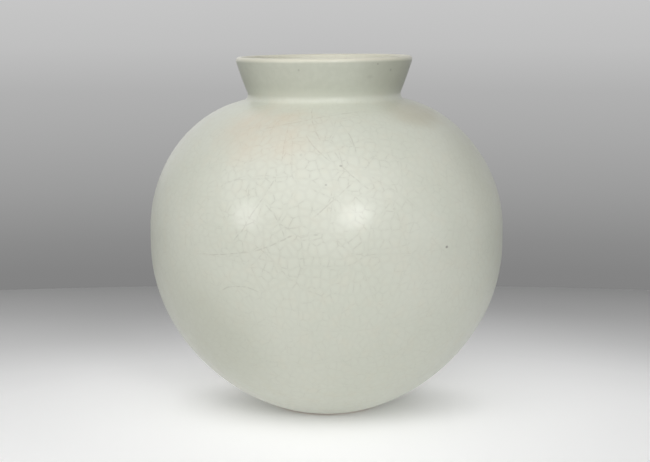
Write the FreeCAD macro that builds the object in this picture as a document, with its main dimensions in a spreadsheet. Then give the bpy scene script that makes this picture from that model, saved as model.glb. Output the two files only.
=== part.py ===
import FreeCAD, Part
import math
import os
import re

import Sketcher

# A moon jar: two thrown bowls luted rim to rim, a flared collar on the opening, a low foot ring under
# the base, and three coats of glaze. Every piece is turned about +Z. The origin is the centre of the
# circle on which the foot rests. Lengths are in millimetres and angles in degrees.

# Driving dimensions

SIZES = {
    # Outer, glazed surface of the two bowls, from the belly down and from the belly up
    "belly_radius": 208.0,
    "belly_band": 15.0,
    "low_flank_radius": 190.0,
    "low_flank_turn": 29.4,
    "sweep_radius": 230.0,
    "high_flank_radius": 164.0,
    "high_flank_turn": 48.4,
    "shoulder_radius": 132.4,
    # Collar: the narrowest place, its hollow bend into the shoulder, and the flare up to the lip
    "throat_radius": 89.5,
    "throat_bend": 7.0,
    "collar_rise": 43.8,
    "collar_flare": 22.0,
    "collar_curve": 450.0,
    # Clay and glaze
    "clay_wall": 7.0,
    "glaze_coat": 0.6,
    "base_thickness": 10.0,
    "floor_bend": 30.0,
    # Foot ring
    "foot_radius": 58.7,
    "foot_rim": 12.7,
    "foot_rise": 7.0,
    "foot_outer_round": 4.0,
    "foot_inner_round": 2.0,
    # Slip between the clay members, and the bead that it squeezes out inside the belly
    "slip_layer": 1.2,
    "bead_width": 9.0,
    "bead_swell": 1.6,
    # Where the glaze was wiped off the foot, and how it pools in the corner of the hollow
    "bare_outer_edge": 2.0,
    "bare_inner_edge": 3.0,
    "recess_pool": 2.5,
}

# Values worked out from the driving dimensions. A name that ends in _across is a distance from the
# axis, and one that ends in _up is a height over the ground. Each arc of the profile has one centre,
# which all surfaces at any depth in the wall share, so that the coats and the clay fit face to face.

DERIVED = {
    "wall": "clay_wall + 2 * glaze_coat",
    "clay_depth": "glaze_coat",
    "lining_depth": "glaze_coat + clay_wall",
    # Belly, low flank and sweep. The foot's radius on the ground sets how high the belly stands.
    "low_flank_across": "belly_radius - low_flank_radius",
    "sweep_across": "low_flank_across + (low_flank_radius - sweep_radius) * cos(low_flank_turn)",
    "sweep_up": "sqrt((sweep_radius - clay_depth)^2 - (foot_radius - sweep_across)^2)",
    "low_flank_up": "sweep_up + (low_flank_radius - sweep_radius) * sin(low_flank_turn)",
    "belly_up": "low_flank_up + belly_band / 2",
    # High flank and shoulder
    "high_flank_across": "belly_radius - high_flank_radius",
    "high_flank_up": "belly_up + belly_band / 2",
    "shoulder_across": "high_flank_across + (high_flank_radius - shoulder_radius) * cos(high_flank_turn)",
    "shoulder_up": "high_flank_up + (high_flank_radius - shoulder_radius) * sin(high_flank_turn)",
    # Throat, collar and lip
    "throat_across": "throat_radius + throat_bend",
    "throat_up": "shoulder_up + sqrt((shoulder_radius + throat_bend)^2"
                 " - (throat_across - shoulder_across)^2)",
    "shoulder_end_cos": "(throat_across - shoulder_across) / (shoulder_radius + throat_bend)",
    "shoulder_end_sin": "(throat_up - shoulder_up) / (shoulder_radius + throat_bend)",
    "collar_across": "throat_across - (throat_bend + collar_curve) * cos(collar_flare)",
    "collar_up": "throat_up + (throat_bend + collar_curve) * sin(collar_flare)",
    "lip_round": "wall / 2",
    "lip_up": "throat_up + collar_rise - lip_round",
    "lip_across": "collar_across + sqrt((collar_curve - lip_round)^2 - (collar_up - lip_up)^2)",
    "collar_end_cos": "(lip_across - collar_across) / (collar_curve - lip_round)",
    "collar_end_sin": "(lip_up - collar_up) / (collar_curve - lip_round)",
    # Foot ring, base and floor
    "bore_radius": "foot_radius - foot_rim",
    "foot_edge_across": "sweep_across + sqrt((sweep_radius - clay_depth - foot_outer_round)^2"
                        " - (sweep_up - foot_outer_round)^2)",
    "foot_edge_cos": "(foot_edge_across - sweep_across) / (sweep_radius - clay_depth - foot_outer_round)",
    "foot_edge_sin": "(foot_outer_round - sweep_up) / (sweep_radius - clay_depth - foot_outer_round)",
    "base_up": "foot_rise + slip_layer",
    "floor_up": "base_up + base_thickness",
    "floor_bend_across": "sweep_across + sqrt((sweep_radius - lining_depth - floor_bend)^2"
                         " - (sweep_up - floor_up - floor_bend)^2)",
    "floor_bend_up": "floor_up + floor_bend",
    "floor_end_cos": "(floor_bend_across - sweep_across) / (sweep_radius - lining_depth - floor_bend)",
    "floor_end_sin": "(floor_bend_up - sweep_up) / (sweep_radius - lining_depth - floor_bend)",
    "glaze_end_sin": "(bare_outer_edge - sweep_up) / sweep_radius",
    "glaze_end_cos": "sqrt(1 - glaze_end_sin^2)",
    # Bead inside the belly: its arc, and where the glaze over it leaves the wall
    "bead_round": "(bead_width^2 / 4 + bead_swell^2) / (2 * bead_swell)",
    "bead_across": "belly_radius - lining_depth - bead_swell + bead_round",
    "glazed_bead_half": "sqrt((bead_round + glaze_coat)^2 - (bead_across - belly_radius + wall)^2)",
}

document = FreeCAD.newDocument("moon_jar")

sheet = document.addObject("Spreadsheet::Sheet", "Sizes")
for row, (name, value) in enumerate(SIZES.items(), start=1):
    sheet.set(f"A{row}", name)
    sheet.set(f"B{row}", str(value))
    sheet.setAlias(f"B{row}", name)
document.recompute()


def bound(text):
    """Turns a formula in plain names into one that refers to the sheet and to the derived values."""
    return re.sub(r"\b([a-z]\w*)\b", lambda word: qualified(word.group(1)), text)


def qualified(word):
    if word in SIZES:
        return f"Sizes.{word}"
    if word in DERIVED:
        return f"Derived.{word}"
    return word


derived = document.addObject("App::VarSet", "Derived")
for name in DERIVED:
    derived.addProperty("App::PropertyFloat", name, "Profile")
for name, formula in DERIVED.items():
    derived.setExpression(name, bound(formula))
document.recompute()


def number(formula):
    return float(derived.evalExpression(bound(formula)))


# Points and edges of a half profile, each written as formulas

def centre(name):
    return (f"{name}_across", f"{name}_up")


def line(end):
    """A straight edge to a point."""
    return (end, None, None)


def arc(end, about, radius):
    """A round edge of less than half a turn to a point, about a named centre."""
    return (end, centre(about), radius)


def on_arc(about, radius, cosine, sine):
    """The point of an arc in the direction with that cosine and sine from its centre."""
    return (f"{about}_across + ({radius}) * ({cosine})", f"{about}_up + ({radius}) * ({sine})")


def sweep_at(depth, height):
    """The point of the sweep, at a depth in the wall, that lies at a height over the ground."""
    return (f"sweep_across + sqrt((sweep_radius - ({depth}))^2 - (sweep_up - ({height}))^2)", height)


def throat_at(depth, height):
    """The point of the throat's bend, at a depth in the wall, that lies at a height over the ground."""
    return (f"throat_across - sqrt((throat_bend + {depth})^2 - ({height} - throat_up)^2)", height)


def low_flank_foot(depth):
    radius = f"low_flank_radius - {depth}"
    return on_arc("low_flank", radius, "cos(low_flank_turn)", "-sin(low_flank_turn)")


def high_flank_top(depth):
    radius = f"high_flank_radius - {depth}"
    return on_arc("high_flank", radius, "cos(high_flank_turn)", "sin(high_flank_turn)")


def shoulder_end(depth):
    return on_arc("shoulder", f"shoulder_radius - {depth}", "shoulder_end_cos", "shoulder_end_sin")


def throat_end(depth):
    return on_arc("throat", f"throat_bend + {depth}", "-cos(collar_flare)", "sin(collar_flare)")


def collar_end(depth):
    return on_arc("collar", f"collar_curve - {depth}", "collar_end_cos", "collar_end_sin")


def lip_crest(depth):
    return ("lip_across", f"lip_up + lip_round - {depth}")


def belly(depth, height):
    return (f"belly_radius - {depth}", height)


def rise_low(depth):
    """The low flank from the sweep up to the belly's band."""
    return [arc(belly(depth, "low_flank_up"), "low_flank", f"low_flank_radius - {depth}")]


def rise_high(depth):
    """High flank and shoulder, from the top of the belly's band to the throat's bend."""
    return [
        arc(high_flank_top(depth), "high_flank", f"high_flank_radius - {depth}"),
        arc(shoulder_end(depth), "shoulder", f"shoulder_radius - {depth}"),
    ]


def fall_high(depth):
    """The same two arcs downwards, from the throat's bend to the belly's band."""
    return [
        arc(high_flank_top(depth), "shoulder", f"shoulder_radius - {depth}"),
        arc(belly(depth, "high_flank_up"), "high_flank", f"high_flank_radius - {depth}"),
    ]


def fall_low(depth):
    """The low flank from the belly's band down to the sweep."""
    return [arc(low_flank_foot(depth), "low_flank", f"low_flank_radius - {depth}")]


# Building a turned piece. To a sketch, edge -1 is the ground line, with the origin at its end 1, edge -2
# is the upright axis, and the two ends of a drawn edge are 1 and 2.

FULL_TURN = 360


def flat(point):
    return FreeCAD.Vector(number(point[0]), number(point[1]), 0)


def add_edge(sketch, start, end, middle, radius):
    """Draws one edge and returns its number and the ends at which it starts and stops."""
    if middle is None:
        return (sketch.addGeometry(Part.LineSegment(start, end)), 1, 2)
    circle = Part.Circle(middle, FreeCAD.Vector(0, 0, 1), radius)
    from_angle = math.atan2(start.y - middle.y, start.x - middle.x)
    to_angle = math.atan2(end.y - middle.y, end.x - middle.x)
    leftward = (start - middle).cross(end - middle).z > 0
    if leftward:
        return (sketch.addGeometry(Part.ArcOfCircle(circle, from_angle, to_angle)), 1, 2)
    return (sketch.addGeometry(Part.ArcOfCircle(circle, to_angle, from_angle)), 2, 1)


def bind(sketch, kind, places, formula):
    """Adds one measured constraint and ties it to its formula."""
    index = sketch.addConstraint(Sketcher.Constraint(kind, *places, number(formula)))
    sketch.setExpression(f"Constraints[{index}]", bound(formula))


def fix_point(sketch, edge, end, point):
    """Ties a corner of the profile to its distance from the axis and its height over the ground."""
    across, up = point
    if across == "0":
        sketch.addConstraint(Sketcher.Constraint("PointOnObject", edge, end, -2))
    else:
        bind(sketch, "DistanceX", (-1, 1, edge, end), across)
    if up == "0":
        sketch.addConstraint(Sketcher.Constraint("PointOnObject", edge, end, -1))
    else:
        bind(sketch, "DistanceY", (-1, 1, edge, end), up)


def turned_piece(label, outline):
    """Makes a body from a closed half profile. The last edge ends where the first one starts."""
    body = document.addObject("PartDesign::Body", label)
    body.Label = label
    body.Placement = FreeCAD.Placement()
    sketch = body.newObject("Sketcher::SketchObject", f"{label}_profile")
    plane = next(item for item in body.Origin.OriginFeatures if item.Role == "XZ_Plane")
    sketch.AttachmentSupport = [(plane, "")]
    sketch.MapMode = "FlatFace"
    drawn = []
    for index, (end, middle, radius) in enumerate(outline):
        start = outline[index - 1][0]
        middle_point = flat(middle) if middle else None
        reach = number(radius) if middle else None
        drawn.append(add_edge(sketch, flat(start), flat(end), middle_point, reach))
    for index, (edge, first, last) in enumerate(drawn):
        before, _, before_last = drawn[index - 1]
        sketch.addConstraint(Sketcher.Constraint("Coincident", before, before_last, edge, first))
        fix_point(sketch, edge, last, outline[index][0])
        if outline[index][2]:
            bind(sketch, "Radius", (edge,), outline[index][2])
    turned = body.newObject("PartDesign::Revolution", f"{label}_turned")
    turned.Profile = sketch
    turned.ReferenceAxis = (sketch, ["V_Axis"])
    turned.Angle = FULL_TURN
    sketch.Visibility = False
    body.Tip = turned
    return body


# Depths in the wall, from the glazed outside to the glazed inside

FACE = "0"
CLAY = "clay_depth"
LINING = "lining_depth"
CAVITY = "wall"


# Clay members

def foot_ring():
    top_inner = ("bore_radius", "foot_rise")
    rest_inner = ("bore_radius + foot_inner_round", "0")
    outline = [
        line(("foot_edge_across", "0")),
        (on_arc("sweep", f"sweep_radius - {CLAY}", "foot_edge_cos", "foot_edge_sin"),
         ("foot_edge_across", "foot_outer_round"), "foot_outer_round"),
        arc(sweep_at(CLAY, "foot_rise"), "sweep", f"sweep_radius - {CLAY}"),
        line(top_inner),
        line(("bore_radius", "foot_inner_round")),
        (rest_inner, ("bore_radius + foot_inner_round", "foot_inner_round"), "foot_inner_round"),
    ]
    return turned_piece("foot_ring", outline)


def lower_bowl():
    seam = "belly_up - slip_layer / 2"
    outline = [
        line(sweep_at(CLAY, "base_up")),
        arc(low_flank_foot(CLAY), "sweep", f"sweep_radius - {CLAY}"),
        *rise_low(CLAY),
        line(belly(CLAY, seam)),
        line(belly(LINING, seam)),
        line(belly(LINING, "low_flank_up")),
        *fall_low(LINING),
        arc(on_arc("sweep", f"sweep_radius - {LINING}", "floor_end_cos", "floor_end_sin"),
            "sweep", f"sweep_radius - {LINING}"),
        arc(("floor_bend_across", "floor_up"), "floor_bend", "floor_bend"),
        line(("0", "floor_up")),
        line(("0", "base_up")),
    ]
    return turned_piece("lower_bowl", outline)


def upper_bowl():
    seam = "belly_up + slip_layer / 2"
    opening = "throat_up - slip_layer / 2"
    outline = [
        line(belly(CLAY, "high_flank_up")),
        *rise_high(CLAY),
        arc(throat_at(CLAY, opening), "throat", f"throat_bend + {CLAY}"),
        line(throat_at(LINING, opening)),
        arc(shoulder_end(LINING), "throat", f"throat_bend + {LINING}"),
        *fall_high(LINING),
        line(belly(LINING, seam)),
        line(belly(CLAY, seam)),
    ]
    return turned_piece("upper_bowl", outline)


def neck_collar():
    bottom = "throat_up + slip_layer / 2"
    outline = [
        arc(throat_end(CLAY), "throat", f"throat_bend + {CLAY}"),
        arc(collar_end(CLAY), "collar", f"collar_curve - {CLAY}"),
        arc(lip_crest(CLAY), "lip", f"lip_round - {CLAY}"),
        arc(collar_end(LINING), "lip", f"lip_round - {CLAY}"),
        arc(throat_end(LINING), "collar", f"collar_curve - {LINING}"),
        arc(throat_at(LINING, bottom), "throat", f"throat_bend + {LINING}"),
        line(throat_at(CLAY, bottom)),
    ]
    return turned_piece("neck_collar", outline)


# Slip joints

def foot_slip():
    outline = [
        line(sweep_at(CLAY, "foot_rise")),
        arc(sweep_at(CLAY, "base_up"), "sweep", f"sweep_radius - {CLAY}"),
        line(("bore_radius", "base_up")),
        line(("bore_radius", "foot_rise")),
    ]
    return turned_piece("foot_slip", outline)


def belly_slip():
    low = "belly_up - slip_layer / 2"
    high = "belly_up + slip_layer / 2"
    bead_crest = ("bead_across - bead_round", "belly_up")
    outline = [
        line(belly(CLAY, high)),
        line(belly(LINING, high)),
        line(belly(LINING, "belly_up + bead_width / 2")),
        (bead_crest, ("bead_across", "belly_up"), "bead_round"),
        (belly(LINING, "belly_up - bead_width / 2"), ("bead_across", "belly_up"), "bead_round"),
        line(belly(LINING, low)),
        line(belly(CLAY, low)),
    ]
    return turned_piece("belly_slip", outline)


def neck_slip():
    low = "throat_up - slip_layer / 2"
    high = "throat_up + slip_layer / 2"
    outline = [
        arc(throat_at(CLAY, high), "throat", f"throat_bend + {CLAY}"),
        line(throat_at(LINING, high)),
        arc(throat_at(LINING, low), "throat", f"throat_bend + {LINING}"),
        line(throat_at(CLAY, low)),
    ]
    return turned_piece("neck_slip", outline)


# Glaze coats

def outer_glaze():
    """The coat from the lip's crest to the wiped edge over the foot."""
    outline = [
        arc(low_flank_foot(FACE), "sweep", "sweep_radius"),
        *rise_low(FACE),
        line(belly(FACE, "high_flank_up")),
        *rise_high(FACE),
        arc(throat_end(FACE), "throat", "throat_bend"),
        arc(collar_end(FACE), "collar", "collar_curve"),
        arc(lip_crest(FACE), "lip", "lip_round"),
        line(lip_crest(CLAY)),
        arc(collar_end(CLAY), "lip", f"lip_round - {CLAY}"),
        arc(throat_end(CLAY), "collar", f"collar_curve - {CLAY}"),
        arc(shoulder_end(CLAY), "throat", f"throat_bend + {CLAY}"),
        *fall_high(CLAY),
        line(belly(CLAY, "low_flank_up")),
        *fall_low(CLAY),
        arc(on_arc("sweep", f"sweep_radius - {CLAY}", "glaze_end_cos", "glaze_end_sin"),
            "sweep", f"sweep_radius - {CLAY}"),
        line(on_arc("sweep", "sweep_radius", "glaze_end_cos", "glaze_end_sin")),
    ]
    return turned_piece("outer_glaze", outline)


def inner_glaze():
    """The coat from the lip's crest down over the slip's bead to the floor."""
    outline = [
        line(("0", "floor_up")),
        line(("floor_bend_across", "floor_up")),
        arc(on_arc("sweep", f"sweep_radius - {LINING}", "floor_end_cos", "floor_end_sin"),
            "floor_bend", "floor_bend"),
        arc(low_flank_foot(LINING), "sweep", f"sweep_radius - {LINING}"),
        *rise_low(LINING),
        line(belly(LINING, "belly_up - bead_width / 2")),
        (("bead_across - bead_round", "belly_up"), ("bead_across", "belly_up"), "bead_round"),
        (belly(LINING, "belly_up + bead_width / 2"), ("bead_across", "belly_up"), "bead_round"),
        line(belly(LINING, "high_flank_up")),
        *rise_high(LINING),
        arc(throat_end(LINING), "throat", f"throat_bend + {LINING}"),
        arc(collar_end(LINING), "collar", f"collar_curve - {LINING}"),
        arc(lip_crest(CLAY), "lip", f"lip_round - {CLAY}"),
        line(lip_crest(FACE)),
        arc(collar_end(CAVITY), "lip", "lip_round"),
        arc(throat_end(CAVITY), "collar", f"collar_curve - {CAVITY}"),
        arc(shoulder_end(CAVITY), "throat", f"throat_bend + {CAVITY}"),
        *fall_high(CAVITY),
        line(belly(CAVITY, "belly_up + glazed_bead_half")),
        (("bead_across - bead_round - glaze_coat", "belly_up"),
         ("bead_across", "belly_up"), "bead_round + glaze_coat"),
        (belly(CAVITY, "belly_up - glazed_bead_half"),
         ("bead_across", "belly_up"), "bead_round + glaze_coat"),
        line(belly(CAVITY, "low_flank_up")),
        *fall_low(CAVITY),
        arc(on_arc("sweep", f"sweep_radius - {CAVITY}", "floor_end_cos", "floor_end_sin"),
            "sweep", f"sweep_radius - {CAVITY}"),
        arc(("floor_bend_across", "floor_up + glaze_coat"), "floor_bend", "floor_bend - glaze_coat"),
        line(("0", "floor_up + glaze_coat")),
    ]
    return turned_piece("inner_glaze", outline)


def foot_recess_glaze():
    """The coat in the hollow of the foot, with a wiped edge near the ground."""
    face_across = "bore_radius - glaze_coat"
    face_up = "base_up - glaze_coat"
    pool_centre = (f"{face_across} - recess_pool", f"{face_up} - recess_pool")
    outline = [
        line(("bore_radius", "bare_inner_edge")),
        line(("bore_radius", "base_up")),
        line(("0", "base_up")),
        line(("0", face_up)),
        line((pool_centre[0], face_up)),
        ((face_across, pool_centre[1]), pool_centre, "recess_pool"),
        line((face_across, "bare_inner_edge")),
    ]
    return turned_piece("foot_recess_glaze", outline)


pieces = [
    foot_ring(),
    foot_slip(),
    lower_bowl(),
    belly_slip(),
    upper_bowl(),
    neck_slip(),
    neck_collar(),
    outer_glaze(),
    inner_glaze(),
    foot_recess_glaze(),
]
document.recompute()

# Every object has to be sound before anything is written.
for item in document.Objects:
    if "Invalid" in item.State or "Error" in item.State:
        raise RuntimeError(f"{item.Label} did not build: {item.State}")
for piece in pieces:
    if piece.Shape.isNull() or not piece.Shape.isValid() or len(piece.Shape.Solids) != 1:
        raise RuntimeError(f"{piece.Label} is not one sound solid")

os.makedirs("parts", exist_ok=True)
for piece in pieces:
    piece.Shape.exportStep(os.path.join("parts", f"{piece.Label}.step"))
    box = piece.Shape.optimalBoundingBox(False)
    print(f"{piece.Label}: {piece.Shape.Volume:.0f} mm3, across {box.XMax:.2f},"
          f" from {box.ZMin:.2f} to {box.ZMax:.2f}")
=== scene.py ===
import math
import random

import bpy
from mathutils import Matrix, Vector


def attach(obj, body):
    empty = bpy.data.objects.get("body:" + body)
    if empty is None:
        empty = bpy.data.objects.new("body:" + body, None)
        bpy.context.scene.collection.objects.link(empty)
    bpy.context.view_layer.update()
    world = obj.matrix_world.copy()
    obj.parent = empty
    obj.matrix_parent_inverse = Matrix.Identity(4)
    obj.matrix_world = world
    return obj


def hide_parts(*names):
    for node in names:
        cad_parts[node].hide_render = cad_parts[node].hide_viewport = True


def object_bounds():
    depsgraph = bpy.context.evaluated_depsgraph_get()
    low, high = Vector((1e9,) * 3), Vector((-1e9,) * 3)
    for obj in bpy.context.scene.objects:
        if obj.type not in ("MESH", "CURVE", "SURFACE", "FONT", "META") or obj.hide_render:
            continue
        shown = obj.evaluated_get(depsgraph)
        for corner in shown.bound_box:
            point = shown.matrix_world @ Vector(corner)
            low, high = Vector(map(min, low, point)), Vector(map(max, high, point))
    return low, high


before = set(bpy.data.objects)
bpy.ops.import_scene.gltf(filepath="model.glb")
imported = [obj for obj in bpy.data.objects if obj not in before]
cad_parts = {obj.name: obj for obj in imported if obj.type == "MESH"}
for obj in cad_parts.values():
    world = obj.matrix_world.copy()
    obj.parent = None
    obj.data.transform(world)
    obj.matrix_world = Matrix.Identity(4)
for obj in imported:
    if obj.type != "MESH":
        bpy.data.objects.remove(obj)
cad_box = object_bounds()

# A white moon jar. Lengths are in metres and angles in radians, and +Z is the jar's axis. A place in a
# half profile is written as its distance from the axis and its height over the ground.

# Sizes of the jar: bowls, collar, wall, foot and slip

BELLY_RADIUS = 0.208
BELLY_BAND = 0.015
LOW_FLANK_RADIUS = 0.190
LOW_FLANK_TURN = math.radians(29.4)
SWEEP_RADIUS = 0.230
HIGH_FLANK_RADIUS = 0.164
HIGH_FLANK_TURN = math.radians(48.4)
SHOULDER_RADIUS = 0.1324
THROAT_RADIUS = 0.0895
THROAT_BEND = 0.007
COLLAR_RISE = 0.0438
COLLAR_FLARE = math.radians(22)
COLLAR_CURVE = 0.450
CLAY_WALL = 0.007
COAT = 0.0006
BASE_THICKNESS = 0.010
FLOOR_BEND = 0.030
FOOT_RADIUS = 0.0587
FOOT_RIM = 0.0127
FOOT_RISE = 0.007
FOOT_OUTER_ROUND = 0.004
FOOT_INNER_ROUND = 0.002
SLIP_LAYER = 0.0012
BEAD_WIDTH = 0.009
BEAD_SWELL = 0.0016
BARE_OUTER_EDGE = 0.002
BARE_INNER_EDGE = 0.003
RECESS_POOL = 0.0025

# Depths under the glazed face
FACE = 0.0
CLAY = COAT
LINING = COAT + CLAY_WALL
CAVITY = CLAY_WALL + 2 * COAT


# Profile: the centres of its arcs, and the angles at which one arc runs into the next

def on_arc(centre, radius, angle):
    """The point of a circle at an angle, counter-clockwise from straight outwards."""
    return Vector((centre.x + radius * math.cos(angle), centre.y + radius * math.sin(angle)))


def level_on(centre, radius, height):
    """The outer point of a circle at a height over the ground."""
    return Vector((centre.x + math.sqrt(radius ** 2 - (height - centre.y) ** 2), height))


sweep_across = BELLY_RADIUS - LOW_FLANK_RADIUS + (LOW_FLANK_RADIUS - SWEEP_RADIUS) * math.cos(LOW_FLANK_TURN)
SWEEP = Vector((sweep_across, math.sqrt((SWEEP_RADIUS - CLAY) ** 2 - (FOOT_RADIUS - sweep_across) ** 2)))
LOW_FLANK = on_arc(SWEEP, SWEEP_RADIUS - LOW_FLANK_RADIUS, -LOW_FLANK_TURN)
BELLY_HEIGHT = LOW_FLANK.y + BELLY_BAND / 2
HIGH_FLANK = Vector((BELLY_RADIUS - HIGH_FLANK_RADIUS, LOW_FLANK.y + BELLY_BAND))
SHOULDER = on_arc(HIGH_FLANK, HIGH_FLANK_RADIUS - SHOULDER_RADIUS, HIGH_FLANK_TURN)
throat_reach = SHOULDER_RADIUS + THROAT_BEND
SHOULDER_TURN = math.acos((THROAT_RADIUS + THROAT_BEND - SHOULDER.x) / throat_reach)
THROAT = on_arc(SHOULDER, throat_reach, SHOULDER_TURN)
COLLAR = on_arc(THROAT, THROAT_BEND + COLLAR_CURVE, math.pi - COLLAR_FLARE)
LIP_ROUND = CAVITY / 2
lip_height = THROAT.y + COLLAR_RISE - LIP_ROUND
LIP = level_on(COLLAR, COLLAR_CURVE - LIP_ROUND, lip_height)
COLLAR_TURN = math.asin((LIP.y - COLLAR.y) / (COLLAR_CURVE - LIP_ROUND))
BORE_RADIUS = FOOT_RADIUS - FOOT_RIM
BASE_HEIGHT = FOOT_RISE + SLIP_LAYER
FLOOR_HEIGHT = BASE_HEIGHT + BASE_THICKNESS
FLOOR_CORNER = level_on(SWEEP, SWEEP_RADIUS - LINING - FLOOR_BEND, FLOOR_HEIGHT + FLOOR_BEND)
FLOOR_TURN = math.atan2(FLOOR_CORNER.y - SWEEP.y, FLOOR_CORNER.x - SWEEP.x)
BEAD_ROUND = (BEAD_WIDTH ** 2 / 4 + BEAD_SWELL ** 2) / (2 * BEAD_SWELL)
BEAD = Vector((BELLY_RADIUS - LINING - BEAD_SWELL + BEAD_ROUND, BELLY_HEIGHT))


def climb(depth):
    """The wall at one depth, from the sweep's top up to the lip, as corners and the centres of arcs."""
    return [
        (on_arc(SWEEP, SWEEP_RADIUS - depth, -LOW_FLANK_TURN), SWEEP),
        (Vector((BELLY_RADIUS - depth, LOW_FLANK.y)), LOW_FLANK),
        (Vector((BELLY_RADIUS - depth, HIGH_FLANK.y)), None),
        (on_arc(HIGH_FLANK, HIGH_FLANK_RADIUS - depth, HIGH_FLANK_TURN), HIGH_FLANK),
        (on_arc(SHOULDER, SHOULDER_RADIUS - depth, SHOULDER_TURN), SHOULDER),
        (on_arc(THROAT, THROAT_BEND + depth, math.pi - COLLAR_FLARE), THROAT),
        (on_arc(COLLAR, COLLAR_CURVE - depth, COLLAR_TURN), COLLAR),
    ]


def backwards(outline):
    """The same corners from the last one to the first, without the one where it starts."""
    steps = range(len(outline) - 1, 0, -1)
    return [(outline[index - 1][0], outline[index][1]) for index in steps]


# Turning: each piece's half profile is drawn corner by corner, then spun about the jar's axis

TURN_STEPS = 192
SMOOTH_UNDER = math.radians(40)
LONGEST_STEP = 0.006
WIDEST_STEP = math.radians(12)


def signed_turn(start, end, centre):
    """The angle from start to end about a centre, counter-clockwise as seen from the front."""
    a = start - centre
    b = end - centre
    return math.atan2(a.x * b.y - a.y * b.x, a.dot(b))


def turned(name, outline):
    """Turns a closed half profile. Its last corner is the one that it starts from."""
    bpy.ops.object.select_all(action="DESELECT")
    at = outline[-1][0]
    bpy.ops.mesh.primitive_plane_add(size=COAT, location=(at.x, 0, at.y))
    bpy.ops.object.transform_apply()
    piece = bpy.context.object
    piece.name = name
    bpy.ops.object.mode_set(mode="EDIT")
    bpy.ops.mesh.merge(type="CENTER")
    for corner, centre in outline:
        if centre is None:
            steps = max(1, math.ceil((corner - at).length / LONGEST_STEP))
            move = (corner - at) / steps
            for _ in range(steps):
                bpy.ops.mesh.extrude_region_move(TRANSFORM_OT_translate={"value": (move.x, 0, move.y)})
        else:
            turn = signed_turn(at, corner, centre)
            length = abs(turn) * (corner - centre).length
            steps = max(math.ceil(length / LONGEST_STEP), math.ceil(abs(turn) / WIDEST_STEP))
            bpy.ops.mesh.spin(steps=steps, angle=turn, center=(centre.x, 0, centre.y), axis=(0, 1, 0))
        at = corner
    bpy.ops.mesh.select_all(action="SELECT")
    bpy.ops.mesh.remove_doubles(threshold=COAT / 50)
    bpy.ops.mesh.spin(steps=TURN_STEPS, angle=2 * math.pi, center=(0, 0, 0), axis=(0, 0, 1))
    bpy.ops.mesh.select_all(action="SELECT")
    bpy.ops.mesh.remove_doubles(threshold=COAT / 50)
    bpy.ops.mesh.normals_make_consistent(inside=False)
    bpy.ops.object.mode_set(mode="OBJECT")
    bpy.ops.object.shade_smooth_by_angle(angle=SMOOTH_UNDER)
    return piece


def lip_crest(depth):
    """The highest point of the lip at one depth."""
    return Vector((LIP.x, LIP.y + LIP_ROUND - depth))


def wrap_outer_coat():
    """The crackled coat, from the lip's crest to the wiped edge over the foot."""
    edge_angle = math.asin((BARE_OUTER_EDGE - SWEEP.y) / SWEEP_RADIUS)
    return turned("crackled_coat", [
        *climb(FACE),
        (lip_crest(FACE), LIP),
        (lip_crest(CLAY), None),
        (climb(CLAY)[-1][0], LIP),
        *backwards(climb(CLAY)),
        (on_arc(SWEEP, SWEEP_RADIUS - CLAY, edge_angle), SWEEP),
        (on_arc(SWEEP, SWEEP_RADIUS, edge_angle), None),
    ])


def lining_climb(depth):
    """The lining's climb at one depth, over the bead of slip at the belly."""
    wall = climb(depth)
    radius = BEAD_ROUND + depth - LINING
    half = math.sqrt(radius ** 2 - (BEAD.x - BELLY_RADIUS + depth) ** 2)
    bead = [
        (Vector((BELLY_RADIUS - depth, BELLY_HEIGHT - half)), None),
        (Vector((BELLY_RADIUS - depth, BELLY_HEIGHT + half)), BEAD),
    ]
    return [*wall[:2], *bead, *wall[2:]]


def wrap_lining():
    """The coat inside, from the lip's crest down over the slip's bead to the floor."""
    return turned("lining_coat", [
        (Vector((FLOOR_CORNER.x, FLOOR_HEIGHT)), None),
        (on_arc(SWEEP, SWEEP_RADIUS - LINING, FLOOR_TURN), FLOOR_CORNER),
        *lining_climb(LINING),
        (lip_crest(CLAY), LIP),
        (lip_crest(FACE), None),
        (climb(CAVITY)[-1][0], LIP),
        *backwards(lining_climb(CAVITY)),
        (on_arc(SWEEP, SWEEP_RADIUS - CAVITY, FLOOR_TURN), SWEEP),
        (Vector((FLOOR_CORNER.x, FLOOR_HEIGHT + COAT)), FLOOR_CORNER),
        (Vector((0, FLOOR_HEIGHT + COAT)), None),
        (Vector((0, FLOOR_HEIGHT)), None),
    ])


def turn_foot():
    """The bare ring on which the jar stands."""
    reach = SWEEP_RADIUS - CLAY - FOOT_OUTER_ROUND
    outer_corner = level_on(SWEEP, reach, FOOT_OUTER_ROUND)
    inner_corner = Vector((BORE_RADIUS + FOOT_INNER_ROUND, FOOT_INNER_ROUND))
    outer_turn = math.atan2(outer_corner.y - SWEEP.y, outer_corner.x - SWEEP.x)
    return turned("bare_foot", [
        (Vector((outer_corner.x, 0)), None),
        (on_arc(SWEEP, SWEEP_RADIUS - CLAY, outer_turn), outer_corner),
        (level_on(SWEEP, SWEEP_RADIUS - CLAY, FOOT_RISE), SWEEP),
        (Vector((BORE_RADIUS, FOOT_RISE)), None),
        (Vector((BORE_RADIUS, FOOT_INNER_ROUND)), None),
        (Vector((inner_corner.x, 0)), inner_corner),
    ])


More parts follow.
